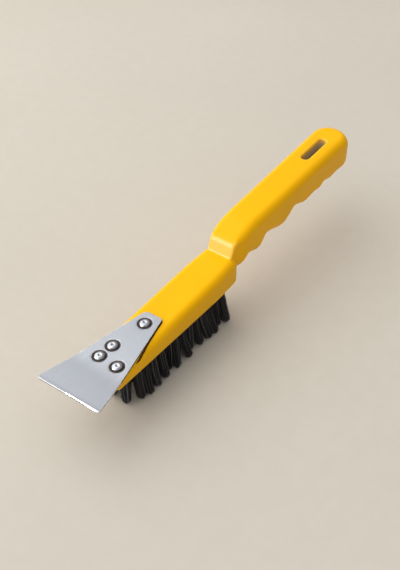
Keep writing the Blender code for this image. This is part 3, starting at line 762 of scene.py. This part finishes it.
def blade_frame():
    """Placement of the flat blade on the block's sloping top, under its edge."""
    bent_run = BEND_START - BEND_LENGTH / 2
    drawn_back = bent_run * (1 - math.cos(BEND_ANGLE))
    lift = bent_run * math.sin(BEND_ANGLE) + CLEARANCE + BLADE_THICKNESS - GRIND_DEPTH
    x = EDGE_X - drawn_back * math.cos(BLOCK_TILT) + lift * math.sin(BLOCK_TILT)
    return Matrix.Translation((x, 0, block_top(x))) @ Matrix.Rotation(-BLOCK_TILT, 4, "Y")


def bent(point):
    """A point of the flat blade after its front is bent up along an arc."""
    x, y, z = point
    end = BEND_START - BEND_LENGTH
    if x >= BEND_START:
        return Vector((x, y, z))
    radius = BEND_LENGTH / BEND_ANGLE
    angle = min((BEND_START - x) / radius, BEND_ANGLE)
    height = radius - (z - CLEARANCE)
    place = Vector((BEND_START - height * math.sin(angle), y, CLEARANCE + radius - height * math.cos(angle)))
    beyond = max(end - x, 0.0)
    return place + Vector((-beyond * math.cos(angle), 0, beyond * math.sin(angle)))


def turned(profile, facets):
    """A closed body of revolution from (radius, height) pairs, top to bottom."""
    turns = [2 * math.pi * k / facets for k in range(facets)]
    shape = skin_rings([[(radius * math.cos(a), radius * math.sin(a), height) for a in turns]
                        for radius, height in profile])
    bmesh.ops.remove_doubles(shape, verts=shape.verts, dist=0.000001)
    return shape


def make_blade(steel, ground):
    """The blade: soft rims, four rivet holes with dished seats and shallow dents, a bent front."""
    outline = blade_outline()
    centre = Vector((BLADE_LENGTH / 2, 0))
    soft = SOFT_RIM
    top = CLEARANCE + BLADE_THICKNESS
    levels = ((CLEARANCE, soft), (CLEARANCE + 0.3 * soft, 0.3 * soft), (CLEARANCE + soft, 0.0),
              (top - soft, 0.0), (top - 0.3 * soft, 0.3 * soft), (top, soft), (top, RIM_WEAR_AND_SHEEN))
    rings = []
    for height, inset in levels:
        ring = []
        for x, y in outline:
            away = Vector((x, y)) - centre
            ring.append((x - math.copysign(inset, away.x), y - math.copysign(inset, away.y), height))
        rings.append(ring)
    shape = skin_rings(rings)
    # A mesh line that touched the side of a rivet's hole would leave faulty edges there
    cuts = [((0, y, 0), (0, 1, 0)) for y in np.arange(*LINES_ACROSS)]
    cuts += [((x, 0, 0), (1, 0, 0)) for x in (GRIND_LENGTH, *np.arange(*LINES_ALONG))]
    for place, direction in cuts:
        everything = shape.verts[:] + shape.edges[:] + shape.faces[:]
        bmesh.ops.bisect_plane(shape, geom=everything, plane_co=place, plane_no=direction)
    blade = put("scraper_blade_steel", shape, steel)
    lip = SEAT_RADIUS + SEAT_LIP
    profile = [
        (0, top + 0.001),
        (lip + 0.0006, top + 0.001),
        (lip + 0.0001, top + 0.00002),
        (lip - 0.0003, top - 0.00012),
        (SEAT_RADIUS - 0.0006, top - 0.00036),
        (RIVET_HEAD_RADIUS + 0.0003, top - 0.9 * SEAT_DEPTH),
        (RIVET_HEAD_RADIUS - 0.0002, top - SEAT_DEPTH),
        (RIVET_SHANK_RADIUS + CLEARANCE, top - SEAT_DEPTH),
        (RIVET_SHANK_RADIUS + CLEARANCE, CLEARANCE - 0.001),
        (0, CLEARANCE - 0.001),
    ]
    seats = []
    for name, (along, across) in RIVETS.items():
        seat = put(f"{name}_seat", turned(profile, SEAT_SIDES))
        seat.location = (along, across, 0)
        boolean(blade, seat)
        seats.append(seat)
    settle(blade, *seats)
    mark_blade(blade, outline, top - soft)
    place = blade_frame()
    for vert in blade.data.vertices:
        point = vert.co.copy()
        if point.x < GRIND_LENGTH and point.z > CLEARANCE + BLADE_THICKNESS / 2:
            point.z -= GRIND_DEPTH * (1 - point.x / GRIND_LENGTH)
        if point.x < EDGE_SKEW_REACH:
            point.x -= EDGE_SKEW * (1 - point.x / EDGE_SKEW_REACH) * point.y / BLADE_FRONT_WIDTH
        for along, across in RIVETS.values():
            away = math.hypot(point.x - along, point.y - across)
            dent = DENT_DEPTH * math.exp(-(away / DENT_REACH) ** 2)
            point.z -= dent * (point.z - CLEARANCE) / BLADE_THICKNESS
        vert.co = place @ bent(point)
    blade.data.materials.clear()
    blade.data.materials.append(steel)
    blade.data.materials.append(ground)
    for face in blade.data.polygons:
        if (place.inverted() @ face.center).x < GRIND_LENGTH and face.normal.z < FLAT_TOP:
            face.material_index = 1
    keep_in_box(blade, "scraper_blade")
    smooth_shade(blade, 30)
    return blade


def mark_blade(blade, outline, rim_height):
    """Mark the flat blade's rim for wear and a painted highlight, its darker front for wear and painted
    shade, its lower half for painted shade on the ground face, and painted shade on its sides and in the
    seats.
    """
    flat = points_of(blade)
    mark(blade, "rim_wear_and_sheen", 1 - from_outline(flat[:, :2], outline) / RIM_WEAR_AND_SHEEN)
    mark(blade, "front", 1 - flat[:, 0] / WORN_SHADED_FRONT)
    mark(blade, "low", 1 - (flat[:, 2] - CLEARANCE) / BLADE_THICKNESS)
    painted_shade = np.where((flat[:, 2] < rim_height + 0.00001) & (flat[:, 0] > BLADE_REACH), 1.0, 0.0)
    for along, across in RIVETS.values():
        away = np.hypot(flat[:, 0] - along, flat[:, 1] - across)
        painted_shade = np.maximum(painted_shade, 1 - (away - RIVET_HEAD_RADIUS - CLEARANCE) / SEAT_SHADE_FADE)
    mark(blade, "painted_shade", painted_shade)


def make_rivet(name, along, across, material):
    """A shank, and a low round head with a dimple in its crown that sits in the dished seat."""
    top = CLEARANCE + BLADE_THICKNESS
    under = top - SEAT_DEPTH + 0.00002
    crown = top + RIVET_HEAD_HEIGHT
    head = RIVET_HEAD_RADIUS
    # Distance from the axis and drop below the crown, as shares of the head's radius and height
    curve = ((0.0, 0.34), (0.12, 0.33), (0.20, 0.27), (0.27, 0.12), (0.34, 0.02), (0.42, 0.0), (0.55, 0.04),
             (0.68, 0.13), (0.80, 0.28), (0.89, 0.46), (0.95, 0.66), (0.985, 0.86))
    profile = [(out * head, crown - drop * RIVET_HEAD_HEIGHT) for out, drop in curve]
    profile += [(head, top - 0.1 * SEAT_DEPTH), (head * 0.985, under), (RIVET_SHANK_RADIUS, under),
                (RIVET_SHANK_RADIUS, -RIVET_GRIP_DEPTH), (0, -RIVET_GRIP_DEPTH)]
    rivet = put(name, turned(profile, RIVET_SIDES), material)
    share = np.hypot(*points_of(rivet)[:, :2].T) / head
    mark(rivet, "crown", 1 - np.abs(share - 0.42) / 0.35)
    # Painted shade on the head's outer ring and in its central dimple
    mark(rivet, "painted_shade", np.maximum((share - 0.78) / 0.18, 0.9 - share / 0.30))
    place = blade_frame() @ Matrix.Translation((along, across, 0))
    rivet.data.transform(place)
    smooth_shade(rivet, 45)
    return rivet


# The wire tufts

WIRES = 72
WIRE_RADIUS = 0.00027
WIRE_SIDES = 5
WIRE_POINTS = 12
ROOT_DEPTH = 0.0030             # of the wires' upper ends in their hole
ROOT_RADIUS = 0.00185           # of a bundle in its hole
FULLNESS = (0.00130, 0.00155)   # by which a bundle is wider below the block
FULL_FROM = 0.5                 # share of a wire's length where its bundle is fully wide
HEEL_FULLNESS = 0.0005          # added to the last two tufts of the right row
TIP_DRAW = 0.0004               # how far a bundle draws in at its tip
DRAW_START = 0.70               # share of a wire's length where that begins
DRAW_RUN = 0.30
TIP_ROUND = 0.0030              # how far the outer wires end above the middle ones
LEAN_SPREAD = (0.0011, 0.0007)  # of the tips in the other rows, along and across the brush
TRIM_SPREAD = 0.0004            # from tuft to tuft
WIRE_SPREAD = 0.0005            # from wire to wire
TURN_SPREAD = 0.15              # of a wire's place round its bundle, in radians
LEAN_POWER = 1.3                # above 1, a tuft leans more towards its tip
STRAY = 0.00020
CRIMP = 0.00007
CRIMP_ANGLE = 11                # of a wire's wave over its length, in radians
DARK_TONES = 0.45
BRIGHT_TONES = (0.7, 1.0)
HIGHLIGHT_WIRES = 0.14             # share of the wires painted bright, as painted highlight streaks
WORN_TIP = 0.0016
GOLDEN_ANGLE = math.pi * (3 - math.sqrt(5))
# Bent by use: how far each tuft of the right row leans along the brush, and its tip's distance
# from the middle plane
RIGHT_ROW_TIPS = (
    (-0.0022, 0.0061), (-0.0006, 0.0108), (-0.0018, 0.0124), (-0.0008, 0.0122), (0.0003, 0.0117),
    (-0.0010, 0.0090), (-0.0024, 0.0119), (0.0021, 0.0122), (0.0007, 0.0088), (0.0011, 0.0113),
    (0.0021, 0.0123), (0.0014, 0.0129), (0.0010, 0.0092), (0.0009, 0.0121),
)


def add_wire(shape, path, radius, tone, layer, chance):
    """A thin tube along a path, cut off square at its tip."""
    rings = []
    spin = chance.uniform(0, 2 * math.pi)
    for k, point in enumerate(path):
        ahead = path[min(k + 1, len(path) - 1)] - path[max(k - 1, 0)]
        ahead.normalize()
        side = ahead.cross(Vector((1, 0, 0))).normalized()
        other = ahead.cross(side)
        ring = []
        for j in range(WIRE_SIDES):
            angle = spin + 2 * math.pi * j / WIRE_SIDES
            vert = shape.verts.new(point + (side * math.cos(angle) + other * math.sin(angle)) * radius)
            vert[layer] = tone
            ring.append(vert)
        rings.append(ring)
    for ring, following in zip(rings, rings[1:]):
        for j in range(WIRE_SIDES):
            nxt = (j + 1) % WIRE_SIDES
            shape.faces.new((ring[j], following[j], following[nxt], ring[nxt]))
    shape.faces.new(rings[0])
    shape.faces.new(rings[-1][::-1])


def tuft_tip(column, row, chance):
    """Where a tuft's tip stands from its root, along and across the brush."""
    if row < 0:
        along, away = RIGHT_ROW_TIPS[column]
        return along, -away - row * ROW_PITCH
    from_middle = column / (TUFT_COLUMNS - 1) * 2 - 1
    along = from_middle * END_LEAN + chance.uniform(-LEAN_SPREAD[0], LEAN_SPREAD[0])
    return along, row * ROW_LEAN + chance.uniform(-LEAN_SPREAD[1], LEAN_SPREAD[1])


def make_tuft(name, column, row, chance, material):
    """A bundle of springy wires: tight in its hole, fuller below, with a rounded worn tip."""
    lean = Vector((*tuft_tip(column, row, chance), 0))
    bow = Vector((-0.2 * lean.x + chance.uniform(-0.0005, 0.0005),
                  -0.3 * lean.y + chance.uniform(-0.0003, 0.0003), 0))
    root = Vector((tuft_x(column), row * ROW_PITCH, BLOCK_BOTTOM + ROOT_DEPTH))
    trim = chance.uniform(0.0, TRIM_SPREAD)
    fullness = chance.uniform(*FULLNESS)
    if row < 0 and column >= TUFT_COLUMNS - 2:
        fullness += HEEL_FULLNESS
    shape = bmesh.new()
    layer = shape.verts.layers.float.new("tone")
    for index in range(WIRES):
        share = math.sqrt((index + 0.5) / WIRES)
        angle = index * GOLDEN_ANGLE + chance.uniform(-TURN_SPREAD, TURN_SPREAD)
        out = Vector((math.cos(angle), math.sin(angle), 0)) * share
        tip_height = trim + TIP_ROUND * share ** 3 + chance.uniform(0, WIRE_SPREAD)
        if index == 0:  # the middle wire stands on the ground
            tip_height = 0.0
        stray = Vector((chance.gauss(0, 1), chance.gauss(0, 1), 0)) * STRAY
        phase = chance.uniform(0, 2 * math.pi)
        tone = DARK_TONES * chance.random() ** 2
        if chance.random() < HIGHLIGHT_WIRES:
            tone = chance.uniform(*BRIGHT_TONES)
        path = []
        for k in range(WIRE_POINTS):
            t = k / (WIRE_POINTS - 1)
            radius = ROOT_RADIUS + fullness * smooth_step(t / FULL_FROM)
            radius -= TIP_DRAW * smooth_step((t - DRAW_START) / DRAW_RUN)
            crimp = CRIMP * math.sin(phase + CRIMP_ANGLE * t)
            point = root + out * radius + lean * t ** LEAN_POWER + bow * (4 * t * (1 - t)) + stray * t * t
            point += Vector((math.cos(phase), math.sin(phase), 0)) * crimp
            point.z = root.z + (tip_height - root.z) * t
            path.append(point)
        add_wire(shape, path, WIRE_RADIUS, tone, layer, chance)
    for vert in shape.verts:
        vert.co.z = max(vert.co.z, 0.0)
    tuft = put(f"wires_{name[5:]}", shape, material)
    mark(tuft, "tip", 1 - points_of(tuft)[:, 2] / WORN_TIP)
    smooth_shade(tuft, 80)
    return tuft


# Floor, light and camera

CAMERA_AZIMUTH = math.radians(-53.386)
CAMERA_ELEVATION = math.radians(41.199)
CAMERA_ROLL = math.radians(0.227)
CAMERA_PLACE = (-0.35814, -0.24861, 0.39887)
CAMERA_LENS = 54.72


def make_floor():
    n = Nodes("pale_warm_floor")
    broad = n.noise(3.0, 2.0)
    mottle = n.noise(90, 5.0, 0.6)
    colour = n.blend(n.spread(broad, 0.3, 0.7), (0.588, 0.546, 0.478), (0.620, 0.578, 0.509))
    colour = n.blend(n.spread(mottle, 0.3, 0.7, 0.0, 0.35), colour, (0.556, 0.511, 0.441))
    n.set(Base_Color=colour, Roughness=n.spread(mottle, 0.3, 0.7, 0.55, 0.70))
    n.set(Normal=n.bump(mottle, 0.0003, 0.25))
    n.set(Specular_IOR_Level=0.0)
    shape = bmesh.new()
    bmesh.ops.create_grid(shape, x_segments=8, y_segments=8, size=4.0)
    floor = put("floor", shape, n.material)


def area_light(name, direction, distance, size, power, colour):
    """A rectangular soft light that faces the object from a direction."""
    light = bpy.data.lights.new(name, "AREA")
    light.shape = "RECTANGLE"
    light.size, light.size_y = size
    light.energy = power
    light.color = colour
    item = bpy.data.objects.new(name, light)
    way = Vector(direction).normalized()
    item.location = way * distance + Vector((0, 0, 0.03))
    item.rotation_euler = way.to_track_quat("Z", "Y").to_euler()
    bpy.context.scene.collection.objects.link(item)
    return item


def make_lights():
    """A soft sky that is brighter towards the window, and two area lights."""
    world = bpy.data.worlds.new("studio")
    bpy.context.scene.world = world
    world.use_nodes = True
    tree = world.node_tree
    background = tree.nodes["Background"]
    place = tree.nodes.new("ShaderNodeTexCoord")
    aim = tree.nodes.new("ShaderNodeVectorMath")
    aim.operation = "DOT_PRODUCT"
    aim.inputs[1].default_value = Vector((-0.45, 0.60, 0.65)).normalized()
    ramp = tree.nodes.new("ShaderNodeMapRange")
    ramp.inputs["From Min"].default_value = -0.5
    ramp.inputs["From Max"].default_value = 1.0
    ramp.inputs["To Min"].default_value = 0.20
    ramp.inputs["To Max"].default_value = 1.10
    tree.links.new(place.outputs["Generated"], aim.inputs[0])
    tree.links.new(aim.outputs["Value"], ramp.inputs["Value"])
    tree.links.new(ramp.outputs["Result"], background.inputs["Strength"])
    background.inputs["Color"].default_value = (1.0, 0.99, 0.975, 1.0)
    area_light("window", direction=(-0.32, 0.66, 0.70), distance=1.35, size=(2.3, 1.9), power=18.0,
               colour=(1.0, 0.985, 0.96))
    # Seen only in reflections, as on the neck's bright face
    sheen = area_light("low_window", direction=(-0.80, 0.46, 0.26), distance=1.0, size=(0.50, 0.80),
                       power=72.0, colour=(1.0, 0.99, 0.97))
    sheen.visible_diffuse = False


def make_camera():
    """The photograph's viewpoint."""
    azimuth, elevation, roll = CAMERA_AZIMUTH, CAMERA_ELEVATION, CAMERA_ROLL
    back = Vector((math.sin(azimuth) * math.cos(elevation), -math.cos(azimuth) * math.cos(elevation),
                   math.sin(elevation)))
    right = Vector((math.cos(azimuth), math.sin(azimuth), 0))
    up = back.cross(right)
    turned_right = right * math.cos(roll) + up * math.sin(roll)
    turned_up = back.cross(turned_right)
    camera = bpy.data.cameras.new("camera")
    camera.sensor_width = 36
    camera.lens = CAMERA_LENS
    camera.clip_start = 0.01
    item = bpy.data.objects.new("camera", camera)
    axes = Matrix((turned_right, turned_up, back)).transposed()
    item.matrix_world = Matrix.Translation(CAMERA_PLACE) @ axes.to_4x4()
    bpy.context.scene.collection.objects.link(item)
    bpy.context.scene.camera = item


def main():
    make_camera()
    make_lights()
    make_floor()
    yellow = yellow_plastic()
    steel = blade_steel()
    ground = ground_steel()
    bright = rivet_steel()
    wire = dark_wire()
    handle = make_handle(yellow)
    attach(handle, "root")
    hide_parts("handle_block")
    blade = make_blade(steel, ground)
    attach(blade, "root")
    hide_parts("scraper_blade")
    for name, (along, across) in RIVETS.items():
        rivet = make_rivet(f"{name}_head", along, across, bright)
        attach(rivet, "root")
        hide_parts(name)
    chance = random.Random(11)
    for name, column, row in tuft_places():
        tuft = make_tuft(name, column, row, chance, wire)
        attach(tuft, "root")
        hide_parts(name)
    bpy.context.scene.view_settings.view_transform = "Standard"


main()
